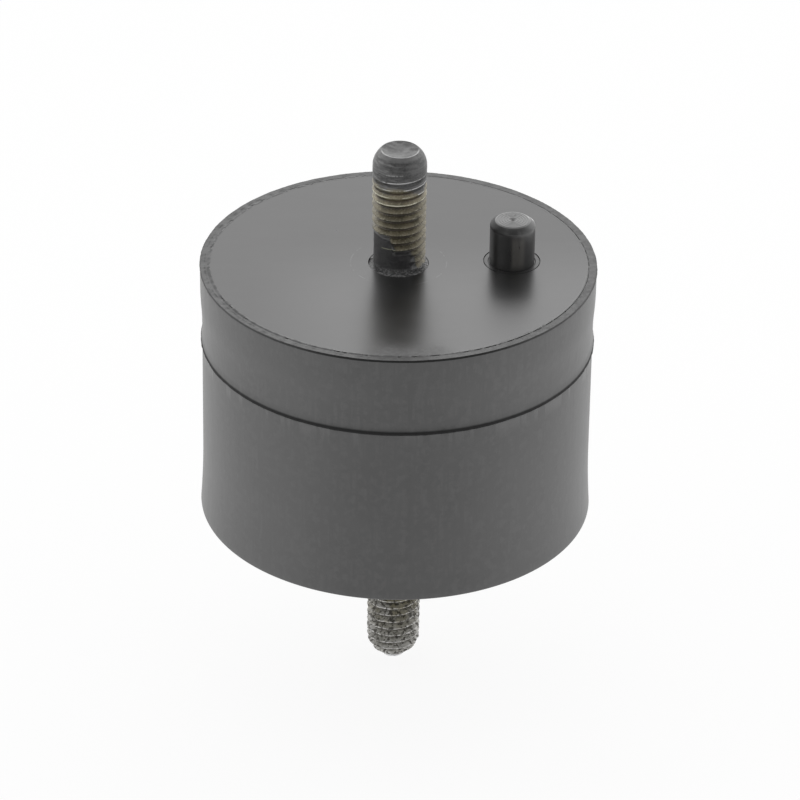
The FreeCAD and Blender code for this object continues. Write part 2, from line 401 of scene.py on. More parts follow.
NECK_STEP = 0.4 * MM
MOUTH_CLEARANCE = 0.6 * MM
MOUTH_GAP = 0.03 * MM
FLASH_EDGE = 0.05 * MM
COLLAR_DEPTH = 0.6 * MM
SERRATION_COUNT = 36
SERRATION_BITE = 0.05 * MM
SERRATION_DEPTH = 0.25 * MM
# The flash round the upper stud: its least depth, the (height, pace, seed) of its hollows, and the depth
# of the crescent left open on the side of OPEN_SIDE, in millimetres, with the cosines at its ends.
FLASH_LEAST, FLASH_OPEN = 0.04, 0.48
FLASH_HOLLOWS = ((0.16, 7, 4.1), (0.12, 22, 8.3))
OPEN_SIDE = math.radians(190)
FLASH_OPENS = (0.8, 0.92)
LOWER_FLASH = MOUTH_GAP - COLLAR_DEPTH

# The end face: a shallow bowl, its rings as shares of its radius, with a small pit off its centre. The
# step down at its rim is a share of its depth, and its unevenness reaches the margin past it.
END_RIM = 0.1 * MM
END_DEPTH = 0.4 * MM
END_RINGS = (1, 0.98, 0.95, 0.91, 0.86, 0.8, 0.72, 0.64, 0.55, 0.46, 0.37, 0.28, 0.19, 0.1)
END_STEP = 0.06
END_MARGIN = 1.01
END_PIT = Vector((0.35, 0.5)) * MM
END_PIT_WIDTH = 0.75 * MM
END_PIT_DEPTH = 0.09 * MM
END_UNEVENNESS, END_PACE = 0.08 * MM, 1100


def rolled_thread(stud):
    """A right-hand helical strip at the thread's own form, cut square at the seat and at the top."""
    mesh = bmesh.new()
    start = stud.thread_start - THREAD_LEAD_IN
    strip(mesh, [(stud.radius - THREAD_DEPTH * depth, start + PITCH * rise) for rise, depth in THREAD_FORM])
    bmesh.ops.spin(mesh, geom=mesh.verts[:] + mesh.edges[:], cent=(0, 0, 0), axis=AXIS,
                   dvec=(0, 0, PITCH / THREAD_STEPS), angle=FULL_TURN, steps=THREAD_STEPS)
    turns = 1
    while start + turns * PITCH < stud.length:
        copied(mesh, Matrix.Translation((0, 0, turns * PITCH)))
        turns *= 2
    bmesh.ops.remove_doubles(mesh, verts=mesh.verts, dist=MERGE_DISTANCE)
    for height, side in ((0, -1), (stud.length, 1)):
        bmesh.ops.bisect_plane(mesh, geom=mesh.verts[:] + mesh.edges[:] + mesh.faces[:],
                               dist=CUT_TOLERANCE, plane_co=(0, 0, height), plane_no=(0, 0, side),
                               clear_outer=True)
    return mesh


def circle_through(a, b, c):
    """Centre and radius of the circle through three points."""
    squares = [x * x + y * y for x, y in (a, b, c)]
    ring = ((a, b, c), (b, c, a), (c, a, b))
    twice = 2 * sum(p[0] * (q[1] - r[1]) for p, q, r in ring)
    across = sum(square * (q[1] - r[1]) for square, (p, q, r) in zip(squares, ring)) / twice
    along = sum(square * (r[0] - q[0]) for square, (p, q, r) in zip(squares, ring)) / twice
    return across, along, math.hypot(a[0] - across, a[1] - along)


def envelope(stud):
    """Crest radius by height: straight, rolled over in an arc, then level with the end along the nose."""
    lead = stud.length - stud.threaded - stud.nose
    middle = (stud.end + (stud.radius - stud.end) * stud.fullness, lead * stud.fullness)
    across, along, bend = circle_through((stud.radius, 0), middle, (stud.end, lead))

    def crest(height):
        rise = min(lead, height - stud.threaded)
        if rise <= 0:
            return stud.radius
        return across + math.sqrt(bend * bend - (rise - along) ** 2)
    return crest


def shank_cover(height, angle):
    """How far the coated shank takes the thread's place, from 0 to 1; it is highest away from the pin."""
    coated = smooth_step(*SHANK_COMES, math.cos(angle - BARE_SIDE))
    raised = SHANK_RISE * smooth_step(*SHANK_RISES, math.cos(angle))
    above = height - raised + ragged(angle, SHANK_EDGE) * MM
    return coated * smooth_step(SHANK_HEIGHT + SHANK_FADE, SHANK_HEIGHT, above)


def dents(place, pitting):
    """How far the worn surface of a thread stands proud at a place, in millimetres."""
    lumps = sum(height * noise.noise(place * pace) for height, pace in THREAD_LUMPS)
    pits = max(0, noise.noise(place * PIT_PACE + AXIS * 3)) + noise.noise(place * PIT_PATCH_PACE) / 4
    return lumps - pitting * pits


def upper_flash(angle):
    """Height of the flash round the upper stud; a crescent away from the pin is left open."""
    opened = smooth_step(*FLASH_OPENS, math.cos(angle - OPEN_SIDE))
    hollows = sum(most * max(0, ripple(angle, pace, seed)) for most, pace, seed in FLASH_HOLLOWS)
    depth = FLASH_LEAST + hollows
    return -(depth + (FLASH_OPEN - depth) * opened) * MM


def serrated(root):
    """Radius of the broached collar by angle."""
    def radius(angle):
        tooth = (angle * SERRATION_COUNT / FULL_TURN) % 1
        return root + SERRATION_DEPTH * (1 - abs(2 * tooth - 1))
    return radius


def open_edge(mesh, height):
    """The edges of the open boundary at one height."""
    return [edge for edge in mesh.edges if edge.is_boundary
            and all(abs(point.co.z - height) < NEAR for point in edge.verts)]


def next_ring(mesh, edges, radius, height):
    """Draws a boundary on to a ring of another radius and height; either may be a function of the angle."""
    drawn = bmesh.ops.extrude_edge_only(mesh, edges=edges)["geom"]
    for point in drawn:
        if isinstance(point, bmesh.types.BMVert):
            angle = math.atan2(point.co.y, point.co.x)
            point.co.xy *= (radius(angle) if callable(radius) else radius) / point.co.xy.length
            point.co.z = height(angle) if callable(height) else height
    return [edge for edge in drawn if isinstance(edge, bmesh.types.BMEdge)]


def pressed_end(mesh, stud, flash):
    """The neck in its mouth of flash, the serrated collar and the head, all below the seating face."""
    neck = stud.radius - NECK_STEP
    mouth = stud.radius + MOUTH_CLEARANCE - MOUTH_GAP
    collar = serrated(stud.radius + MOUTH_CLEARANCE + SERRATION_BITE)
    edge = open_edge(mesh, 0)
    for radius, height in ((neck, -NECK_STEP / 2), (neck, flash),
                           (stud.radius + MOUTH_CLEARANCE / 3, flash),
                           (mouth - FLASH_EDGE, flash), (mouth, -COLLAR_DEPTH),
                           (collar, -COLLAR_DEPTH), (collar, -PLATE_THICKNESS),
                           (stud.head, -PLATE_THICKNESS), (stud.head, HEAD_CHAMFER - stud.depth),
                           (stud.head - HEAD_CHAMFER, -stud.depth), (stud.head / 2, -stud.depth),
                           (POLE_RADIUS, -stud.depth)):
        edge = next_ring(mesh, edge, radius, height)


def dished_end(mesh, stud):
    """The end face, a shallow uneven bowl inside the thin rim that rolling left."""
    top, rim = stud.length, stud.end - END_RIM
    edge = open_edge(mesh, top)
    for share in END_RINGS:
        sunk = END_STEP + (1 - END_STEP) * (1 - share**2)
        edge = next_ring(mesh, edge, rim * share, top - END_DEPTH * sunk)
    next_ring(mesh, edge, POLE_RADIUS, top - END_DEPTH)
    for point in mesh.verts:
        if point.co.z > top - END_MARGIN * END_DEPTH and point.co.xy.length < END_MARGIN * rim:
            away = (point.co.xy - END_PIT).length / END_PIT_WIDTH
            point.co.z -= END_PIT_DEPTH * math.exp(-away * away)
            point.co.z += END_UNEVENNESS * noise.noise(point.co * END_PACE)
        point.co.z = min(top, point.co.z)


def threaded_stud(name, stud, finish, flash, pitting, cover=None):
    """A stud, made end up about the axis and then put in its place.

    Its flash is a height, or a function of the angle. Its pitting is a depth in millimetres. Its cover
    says where a coated shank takes the thread's place.
    """
    mesh = rolled_thread(stud)
    crest = envelope(stud)
    for point in mesh.verts:
        radius, height = point.co.xy.length, point.co.z
        groove = (stud.radius - radius) * smooth_step(*stud.run_out, height)
        if cover:
            groove += (SHANK_STEP - groove) * cover(height, math.atan2(point.co.y, point.co.x))
        moved = crest(height) - groove + dents(point.co, pitting) * MM
        point.co.xy *= min(moved, stud.radius) / radius
    pressed_end(mesh, stud, flash)
    dished_end(mesh, stud)
    closed_up(mesh)
    mesh.transform(stud.place)
    finished_piece(name, mesh, finish, stud.node)


# ---------------------------------------------------------------- locating pin

PIN_STEPS = 128
# The turned edge of the pin: a slightly rounded chamfer, as millimetres in and down from its corner.
PIN_EDGE = ((0, 1.15), (0.05, 0.9), (0.2, 0.68), (0.62, 0.36), (1.0, 0.1), (1.12, 0.03), (1.3, 0))
PIN_DIMPLE = 0.8 * MM
PIN_DIMPLE_DEPTH = 0.3 * MM
PIN_COLLAR = PIN_RADIUS + 1.1 * MM
PIN_COLLAR_DEPTH = 0.05 * MM
PIN_SEAM = 0.13 * MM
PIN_SEAM_DEPTH = 0.3 * MM
PIN_HEAD_CHAMFER = 0.4 * MM
TOOL_MARK_PACE = 0.5 * MM
TOOL_MARK_DEPTH = 0.05 * MM


def locating_pin(finish):
    """The head and collar in the plate, the seam round the collar, and the pin with its dimpled top."""
    edge = [(PIN_RADIUS - inward * MM, PIN_HEIGHT - down * MM) for inward, down in PIN_EDGE]
    face = edge[-1][0]
    outline = Outline()
    outline.to((0, -PIN_DEPTH), (PIN_HEAD - PIN_HEAD_CHAMFER, -PIN_DEPTH),
               (PIN_HEAD, PIN_HEAD_CHAMFER - PIN_DEPTH), (PIN_HEAD, -PLATE_THICKNESS),
               (PIN_COLLAR, -PLATE_THICKNESS), (PIN_COLLAR, -PIN_SEAM_DEPTH),
               (PIN_COLLAR - PIN_SEAM, -PIN_SEAM_DEPTH),
               (PIN_COLLAR - 1.5 * PIN_SEAM, -PIN_COLLAR_DEPTH),
               (PIN_RADIUS + 2 * PIN_SEAM, -PIN_COLLAR_DEPTH),
               (PIN_RADIUS + PIN_SEAM, -PIN_COLLAR_DEPTH - PIN_SEAM),
               (PIN_RADIUS, -PIN_COLLAR_DEPTH - PIN_SEAM))
    outline.straight(edge[0], 12)
    outline.to(*edge[1:])
    outline.straight((PIN_DIMPLE, PIN_HEIGHT), 36)
    outline.straight((0, PIN_HEIGHT - PIN_DIMPLE_DEPTH), 4)
    mesh = turned(outline, PIN_STEPS)
    for point in mesh.verts:
        radius = point.co.xy.length
        if point.co.z > PIN_HEIGHT - NEAR and PIN_DIMPLE < radius < face:
            wave = math.sin(FULL_TURN * radius / TOOL_MARK_PACE)
            point.co.z -= TOOL_MARK_DEPTH * (1 + wave) / 2
    mesh.transform(Matrix.Translation((PIN_OFFSET, 0, SEAT_HEIGHT)))
    finished_piece("turned_pin", mesh, finish, "locating_pin")


# ---------------------------------------------------------------- nodes

# The sockets for colours of a Mix node, which has others of the same names for values and vectors.
COLOUR_A, COLOUR_B, COLOUR_RESULT = 6, 7, 2


class Field:
    """The output of a node. Arithmetic on it adds Math nodes."""

    def __init__(self, nodes, socket):
        self.nodes, self.socket = nodes, socket

    def __add__(self, other):
        return self.nodes.maths("ADD", self, other)

    def __sub__(self, other):
        return self.nodes.maths("SUBTRACT", self, other)

    def __rsub__(self, other):
        return self.nodes.maths("SUBTRACT", other, self)

    def __mul__(self, other):
        return self.nodes.maths("MULTIPLY", self, other)

    def __truediv__(self, other):
        return self.nodes.maths("DIVIDE", self, other)

    __radd__, __rmul__ = __add__, __mul__

    def at_least(self, other):
        """The greater of the two."""
        return self.nodes.maths("MAXIMUM", self, other)

    def ramp(self, low, high):
        """0 below low and 1 above high, smoothly; high may be the smaller, which turns it round."""
        share = self.nodes.node("ShaderNodeMapRange", {"interpolation_type": "SMOOTHSTEP"},
                                {"Value": self, "From Min": min(low, high), "From Max": max(low, high)})
        return 1 - share if high < low else share

    def band(self, middle, half, soft):
        """1 near a value and 0 away from it."""
        return self.nodes.maths("ABSOLUTE", self - middle).ramp(half + soft, half)


class Nodes:
    """The nodes of a material or of the world."""

    def __init__(self, owner):
        owner.use_nodes = True
        self.tree = owner.node_tree
        self.tree.nodes.clear()

    def node(self, kind, settings=None, links=None, output=0):
        """Adds a node: its settings first, then a value or a link for each socket named."""
        made = self.tree.nodes.new(kind)
        for key, value in (settings or {}).items():
            setattr(made, key, value)
        for key, value in (links or {}).items():
            if isinstance(value, Field):
                self.tree.links.new(value.socket, made.inputs[key])
            else:
                made.inputs[key].default_value = value
        return Field(self, made.outputs[output]) if made.outputs else None

    def maths(self, operation, *values):
        """A Math node on fields or numbers."""
        return self.node("ShaderNodeMath", {"operation": operation}, dict(enumerate(values)))

    def vector_maths(self, operation, *vectors, output=0):
        """A Vector Math node on fields or vectors."""
        return self.node("ShaderNodeVectorMath", {"operation": operation}, dict(enumerate(vectors)), output)

    def split(self, vector):
        """The x, y and z of a vector."""
        return [self.node("ShaderNodeSeparateXYZ", links={"Vector": vector}, output=axis) for axis in "XYZ"]

    def ray(self, kind):
        """1 for light that is followed for one purpose, such as Is Camera Ray, and 0 for other light."""
        return self.node("ShaderNodeLightPath", output=kind)


class Finish(Nodes):
    """A material made of patterns on Object coordinates."""

    def __init__(self, name):
        self.material = bpy.data.materials.new(name)
        super().__init__(self.material)
        self.place = self.node("ShaderNodeTexCoord", output="Object")
        self.x, self.y, self.z = self.split(self.place)

    def from_axis(self, x=0.0):
        """Distance from a line parallel to the mount's axis."""
        level = self.vector_maths("MULTIPLY", self.place, (1, 1, 0))
        return self.vector_maths("LENGTH", self.vector_maths("SUBTRACT", level, (x, 0, 0)), output="Value")

    def stretched(self, x, y, z):
        """Object coordinates scaled along each axis, for patterns that are longer one way."""
        return self.node("ShaderNodeMapping", links={"Vector": self.place, "Scale": (x, y, z)})

    def thread(self, start, way):
        """0 in the root of a right-hand thread and 1 on its crest; way is -1 for a stud turned over."""
        angle = self.maths("ARCTAN2", self.y, self.x)
        turns = ((self.z - start) / PITCH - angle / FULL_TURN) * way
        return 1 - self.maths("ABSOLUTE", 2 * self.maths("FRACT", turns) - 1)

    def grain(self, size, detail, roughness=0.55, vector=None):
        """Noise from 0 to 1 whose features are about the given size in metres."""
        return self.node("ShaderNodeTexNoise", links={
            "Vector": vector or self.place, "Scale": 1 / size, "Detail": detail, "Roughness": roughness})

    def mix(self, share, first, second):
        """A colour part of the way from the first to the second."""
        return self.node("ShaderNodeMix", {"data_type": "RGBA"}, {
            0: share, COLOUR_A: self.colour(first), COLOUR_B: self.colour(second)}, COLOUR_RESULT)

    def coats(self, base, *coats):
        """A colour with others laid over it in turn, each given as how far it covers and its colour."""
        for cover, coat in coats:
            base = self.mix(cover, base, coat)
        return base

    @staticmethod
    def colour(value):
        """A field as it is, or a plain colour with its alpha."""
        return value if isinstance(value, Field) else (*value, 1)

    def principled(self, colour, dull, relief, relief_height, **sockets):
        """The Principled shader; its other sockets are named with _ for a space."""
        bump = self.node("ShaderNodeBump", links={"Height": relief, "Distance": relief_height})
        named = {key.replace("_", " "): value for key, value in sockets.items()}
        return self.node("ShaderNodeBsdfPrincipled", links={
            "Base Color": self.colour(colour), "Roughness": dull, "Normal": bump, **named})

    def mix_shaders(self, share, first, second):
        """A shader part of the way from the first to the second."""
        return self.node("ShaderNodeMixShader", links={0: share, 1: first, 2: second})

    def done(self, shader):
        """Leads a shader out, and gives back the material."""
        self.node("ShaderNodeOutputMaterial", links={"Surface": shader})
        return self.material


def grey(value):
    """A colour with no hue."""
    return (value, value, value)


# ---------------------------------------------------------------- finishes

PRESS_MARK_RADIUS = 8.7 * MM

# The upper stud: its plating, the roots and crests of its thread, with brown and painted shade in the
# roots, the coating of its foot, and the heights of the turns whose crests are rubbed and carry painted
# highlights.
PALE_OLIVE = (0.27, 0.235, 0.155)
DEEP_OLIVE = (0.155, 0.135, 0.085)
STRAW = (0.42, 0.4, 0.28)
ROOT_BROWN = (0.075, 0.056, 0.03)
ROOT_BLACK = (0.045, 0.036, 0.021)
RUBBED_AND_GLINTING = (0.75, 0.73, 0.58)
RUBBED_AND_LIT_CREST = (0.3, 0.3, 0.22)
COAT_BLACK = (0.026, 0.025, 0.027)
TINTED_AND_LIT_COAT = (0.04, 0.038, 0.041)
FIRST_TURN = 4.6 * MM
LAST_TURNS = 16.4 * MM
FAINT_TURN = 19.6 * MM

# The lower stud: its plating, the olive stain on it, the painted shade on its left and right sides, its
# roots, which are partly painted shade, and its pits.
PALE_PLATING = (0.68, 0.67, 0.64)
GREY_PLATING = (0.44, 0.43, 0.39)
WHITE_SPECK = (0.85, 0.84, 0.8)
OLIVE_STAIN = (0.36, 0.325, 0.21)
LEFT_PAINTED_SHADE = (0.22, 0.215, 0.205)
RIGHT_PAINTED_SHADE = (0.2, 0.19, 0.175)
ROOT_PALE = (0.17, 0.162, 0.14)
ROOT_DARK = (0.08, 0.075, 0.06)
PIT_DARK = (0.075, 0.07, 0.058)

# The locating pin: the lighter grey of a strip painted along its front as a reflection.
REFLECTION_GREY = (0.1, 0.096, 0.089)


def rubber_finish():
    """Moulded black rubber, satin from the mould, matt where flash was trimmed off; painted shade at the
    parting line.
    """
    f = Finish("moulded_rubber")
    radius = f.from_axis()
    cloud = f.grain(9 * MM, 4)
    mottle = f.grain(1.6 * MM, 4)
    fine = f.grain(0.25 * MM, 2)
    streak = f.grain(1.2 * MM, 3, vector=f.stretched(1.4, 1.4, 0.1))

    outside = radius.ramp(WAIST_RADIUS + 0.05 * MM, WAIST_RADIUS + 0.15 * MM)
    # The fin band: the trimmed flash, matt and dark, and painted shade of the dark parting line on the fin
    # and the flare just above it.
    fin = (f.z.ramp(PARTING_HEIGHT - 0.32 * MM, PARTING_HEIGHT - 0.24 * MM)
           * f.z.ramp(PARTING_HEIGHT + 0.65 * MM, PARTING_HEIGHT + 0.25 * MM) * outside)
    lip = (f.z.ramp(SEAT_HEIGHT - 0.5 * MM, SEAT_HEIGHT - 0.4 * MM)
           * radius.ramp(RIM_RADIUS - 0.25 * MM, RIM_RADIUS - 0.12 * MM))
    ring = f.z.ramp(SEAT_HEIGHT - 0.12 * MM, SEAT_HEIGHT - 0.05 * MM) * (1 - lip)
    # side is 1 to the left and right of the mount. There the lip is less matt, which paints its dark line
    # lighter as light falls at those sides.
    side = 1 - f.x.band(0, 10 * MM, 20 * MM)
    # The matt flash of fin and lip, carrying the painted shade of the parting line and the lip's painted
    # lightening at the sides.
    trimmed = fin.at_least(lip * (1 - 0.45 * side))

    tone = f.coats(
        f.mix(cloud.ramp(0.35, 0.65), grey(0.01), grey(0.018)),
        (mottle.ramp(0.4, 0.65) * streak.ramp(0.3, 0.6), grey(0.037)),
        (ring * mottle.ramp(0.4, 0.62), grey(0.008)))

    left = f.x.ramp(5 * MM, -12 * MM)
    dashes = radius.band(PLATE_RADIUS + 0.75 * MM, 0.06 * MM, 0.14 * MM) * mottle.ramp(0.42, 0.56)
    soiled = (radius.band(PLATE_RADIUS + 0.1 * MM, 0.1 * MM, 0.3 * MM)
              * (0.3 + 0.7 * mottle.ramp(0.35, 0.6)))
    sides = (0.1 + 0.14 * side) * mottle.ramp(0.4, 0.65)
    scuffed = ring * ((0.3 * dashes).at_least(0.2 * soiled) * left + sides)

    dull = 0.42 + 0.12 * (mottle - 0.5) + 0.12 * (streak - 0.5) + 0.05 * (cloud - 0.5)
    relief = 0.5 * mottle + 0.3 * streak + 0.2 * fine + 0.8 * ring * mottle
    satin = f.principled(tone, dull, relief, relief_height=0.04 * MM, IOR=1.92,
                         Sheen_Weight=0.1, Sheen_Roughness=0.45)
    matt = f.principled(grey(0.014), 0.65, relief, relief_height=0.05 * MM, IOR=1.36)
    return f.done(f.mix_shaders(trimmed.at_least(scuffed), satin, matt))


def plate_finish():
    """Thin, dark, satin coating, with a faint press mark round the stud and a dull patch in front."""
    f = Finish("coated_plate")
    radius = f.from_axis()
    cloud = f.grain(7 * MM, 4)
    smear = f.grain(3 * MM, 3, vector=f.stretched(0.4, 1.6, 1))
    orange_peel = f.grain(0.7 * MM, 2)
    fine = f.grain(0.12 * MM, 2)

    pressed = radius.band(PRESS_MARK_RADIUS, 0.06 * MM, 0.12 * MM) * f.grain(2.5 * MM, 2).ramp(0.5, 0.6)
    patch = radius.ramp(28.5 * MM, 33.5 * MM) * f.x.band(0, 3.5 * MM, 6 * MM) * f.y.ramp(0, -10 * MM)
    patch = patch * (0.55 + 0.45 * f.grain(1.8 * MM, 4).ramp(0.38, 0.55))
    tone = f.coats(
        f.mix(cloud.ramp(0.3, 0.7), grey(0.011), grey(0.016)),
        (pressed * 0.6, grey(0.09)),
        (patch, f.mix(orange_peel.ramp(0.35, 0.65), grey(0.055), grey(0.09))))

    dull = 0.3 + 0.05 * (cloud - 0.5) + 0.06 * (smear - 0.5) + 0.2 * patch
    glaze = f.x.ramp(-30 * MM, -8 * MM) * f.y.ramp(12 * MM, -14 * MM) * (1 - patch)
    bead = radius.band(PLATE_RADIUS - 0.2 * MM, 0.03 * MM, 0.12 * MM) * smear.ramp(0.35, 0.55)
    relief = 0.7 * orange_peel + 0.3 * fine + 2.0 * pressed + 5.0 * bead
    return f.done(f.principled(tone, dull, relief, relief_height=0.004 * MM, IOR=1.93,
                               Coat_Weight=0.4 * glaze, Coat_Roughness=0.28, Coat_IOR=1.5))


def olive_plating(f, height, crest, blotch, speck):
    """Olive plating, dark in the roots with brown and painted shade, rubbed bright and painted with
    highlights on last crests.
    """
    olive = f.coats(
        f.mix(blotch.ramp(0.35, 0.65), PALE_OLIVE, DEEP_OLIVE),
        (speck.ramp(0.52, 0.68) * 0.6, STRAW))
    # Dark roots: brown in the thread's valleys, and painted shade in these recesses.
    root = f.mix(blotch.ramp(0.4, 0.6), ROOT_BROWN, ROOT_BLACK)
    # The plating is a little darker below about 13 mm.
    lower_darkening = 0.2 * height.ramp(15 * MM, 12.5 * MM)
    # Bright crests: bare metal where rubbed, and painted highlights along the crests of the last turns.
    bright_turns = (crest.ramp(0.78, 0.9) * height.band(LAST_TURNS, 2.4 * MM, 0.6 * MM)
                    * blotch.ramp(0.42, 0.52))
    rubbed = (0.4 * crest.ramp(0.86, 0.95) * speck.ramp(0.4, 0.6)).at_least(bright_turns)
    return f.coats(
        f.mix((crest + 0.5 * (speck - 0.5)).ramp(0.1, 0.55), root, olive),
        (lower_darkening, grey(0.01)),
        (rubbed, RUBBED_AND_GLINTING))


def rolled_end(f, radius, height, crest, blotch, speck, patch):
    """The dark rolled-over end, streaked round it, with a paler face; painted highlights on left, face, rim
    and crests.
    """
    rolled = f.grain(1.1 * MM, 3, vector=f.stretched(0.35, 0.35, 2.6))
    # Pale streaks round the end, painted stronger on the left as a highlight on that side.
    pale_streaks_and_left_highlight = rolled.ramp(0.48, 0.64) * (0.3 + 0.6 * f.x.ramp(0.5 * MM, -1.5 * MM))
    dark_streaks = rolled.ramp(0.48, 0.34) * 0.8
    # A painted glint along the crest of the faint turn near the top, in front.
    painted_glint = (crest.ramp(0.8, 0.95) * height.band(FAINT_TURN, 0.5 * MM, 0.3 * MM)
                  * f.x.band(-1.3 * MM, 1.3 * MM, 0.4 * MM) * speck.ramp(0.42, 0.56))
    # Crests of the last turns painted pale: rubbed metal, and painted highlights on them.
    rubbed = (crest.ramp(0.82, 0.93) * height.band(LAST_TURNS, 2.2 * MM, 0.4 * MM)
              * blotch.ramp(0.42, 0.54) * f.x.ramp(-3.6 * MM, -2.8 * MM))
    # The end face, with its front painted paler as the highlight of the dish's front wall.
    face = f.coats(
        f.mix(blotch.ramp(0.42, 0.58), grey(0.02), grey(0.14)),
        (f.y.ramp(1.2 * MM, -1.8 * MM) * patch.ramp(0.3, 0.55), grey(0.17)))
    # A painted highlight along the front of the end's rim.
    painted_rim_highlight = (radius.band(3.34 * MM, 0.1 * MM, 0.06 * MM) * height.ramp(22.6 * MM, 22.7 * MM)
                * f.y.ramp(0.4 * MM, -1.2 * MM))
    return f.coats(
        f.mix(speck.ramp(0.35, 0.65), grey(0.02), grey(0.065)),
        (blotch.ramp(0.42, 0.62) * 0.6, grey(0.09)),
        (pale_streaks_and_left_highlight, grey(0.17)),
        (dark_streaks, grey(0.01)),
        (painted_glint, grey(0.32)),
        (rubbed, grey(0.75)),
        (height.ramp(22.2 * MM, 22.6 * MM) * 0.8, face),
        (painted_rim_highlight, grey(0.5)))


def coated_foot(f, height, crest, blotch, speck):
    """Dark coating round the foot, specked at the plate; the first crest rubbed bare; painted light on its
    left and that crest.
    """
    specks = height.ramp(1.2 * MM, 0.6 * MM) * (0.25 + 0.7 * speck.ramp(0.48, 0.56))
    # The first crest above the coating: rubbed bare, and painted lighter as the light top line of its
    # ledge.
    first_turn = (crest.ramp(0.84, 0.93) * height.band(FIRST_TURN, 0.55 * MM, 0.2 * MM)
                  * f.x.band(-0.7 * MM, 2.2 * MM, 0.7 * MM))
    return f.coats(
        f.mix(blotch.ramp(0.4, 0.6), COAT_BLACK, grey(0.038)),
        (specks, grey(0.2)),
        # Greyer towards the left: the coat's purple tint there, and painted light on that side.
        (f.x.ramp(-2 * MM, -4.2 * MM) * 0.3, TINTED_AND_LIT_COAT),
        (first_turn * speck.ramp(0.25, 0.5), RUBBED_AND_LIT_CREST))


def upper_stud_finish():
    """Smooth dark end, olive plating worn pale on the crests, dark foot coating; painted highlights and
    painted root shade.
    """
    f = Finish("upper_thread")
    radius = f.from_axis()
    height = f.z - SEAT_HEIGHT
    crest = f.thread(SEAT_HEIGHT + UPPER.thread_start, 1)
    blotch = f.grain(2.2 * MM, 4)
    patch = f.grain(5 * MM, 2)
    speck = f.grain(0.35 * MM, 3)

    coat_top = (4.6 + 2.8 * f.x.ramp(-0.6 * MM, -2.2 * MM) - 3.5 * f.x.ramp(1.6 * MM, 3.6 * MM)
                + 3 * (patch - 0.5) + 3 * (blotch - 0.5)) * MM
    plating_top = height + 6 * MM * (blotch - 0.5) + 1.5 * MM * f.x.ramp(0, 3 * MM)
    bare = (height - coat_top).ramp(-0.6 * MM, 0.6 * MM) * plating_top.ramp(18.4 * MM, 16 * MM)
    flash = radius.ramp(4.55 * MM, 4.75 * MM) * height.ramp(0.1 * MM, -0.05 * MM)
    tone = f.coats(
        coated_foot(f, height, crest, blotch, speck),
        (height.ramp(9 * MM, 11 * MM), rolled_end(f, radius, height, crest, blotch, speck, patch)),
        (bare, olive_plating(f, height, crest, blotch, speck)),
        (flash, f.mix(speck.ramp(0.46, 0.58), grey(0.06), grey(0.26))))

    dull = 0.34 + 0.2 * speck
    relief = 0.7 * speck + 0.3 * blotch
    return f.done(f.principled(tone, dull, relief, relief_height=0.04 * MM, Metallic=0.3 * bare, IOR=1.75))


def lower_stud_finish():
    """Pale grey plating, pitted and speckled all over, olive under the plate; painted shade on its sides
    and roots.
    """
    f = Finish("lower_thread")
    crest = f.thread(-LOWER.thread_start, -1)
    blotch = f.grain(2.4 * MM, 4)
    speck = f.grain(0.5 * MM, 4, 0.7)
    pits = f.grain(0.7 * MM, 3, 0.6)

    olive_patches = f.grain(4.5 * MM, 2).ramp(0.38, 0.54) * f.z.ramp(-29 * MM, -21 * MM)
    plating = f.coats(
        f.mix(blotch.ramp(0.35, 0.65), PALE_PLATING, GREY_PLATING),
        (speck.ramp(0.5, 0.62) * 0.6, WHITE_SPECK),
        (olive_patches * 0.85, OLIVE_STAIN),
        # Painted shade on the left and right sides of the stud, brownish on the right.
        (f.x.ramp(-1.5 * MM, -4.2 * MM) * 0.55, LEFT_PAINTED_SHADE),
        (f.x.ramp(1.6 * MM, 3.6 * MM) * 0.45, RIGHT_PAINTED_SHADE))
    # Darker roots: partly their own grey colour, partly painted shade in the recesses.
    root = f.mix(blotch.ramp(0.4, 0.6), ROOT_PALE, ROOT_DARK)
    worn = crest.ramp(0.8, 0.94) * speck.ramp(0.32, 0.5) * speck.ramp(0.45, 0.55) * 0.7
    nose = f.z.ramp(-33.1 * MM, -33.4 * MM)
    tone = f.coats(
        f.mix((crest + 0.9 * (speck - 0.5)).ramp(0.05, 0.5), root, plating),
        (worn, grey(0.9)),
        (pits.ramp(0.5, 0.58) * 0.9, PIT_DARK),
        (nose, grey(0.85)))

    dull = 0.4 + 0.25 * (speck - 0.5)
    relief = 0.6 * speck - 0.6 * pits.ramp(0.5, 0.66)
    return f.done(f.principled(tone, dull, relief, relief_height=0.12 * MM, Metallic=0.5, IOR=1.7))


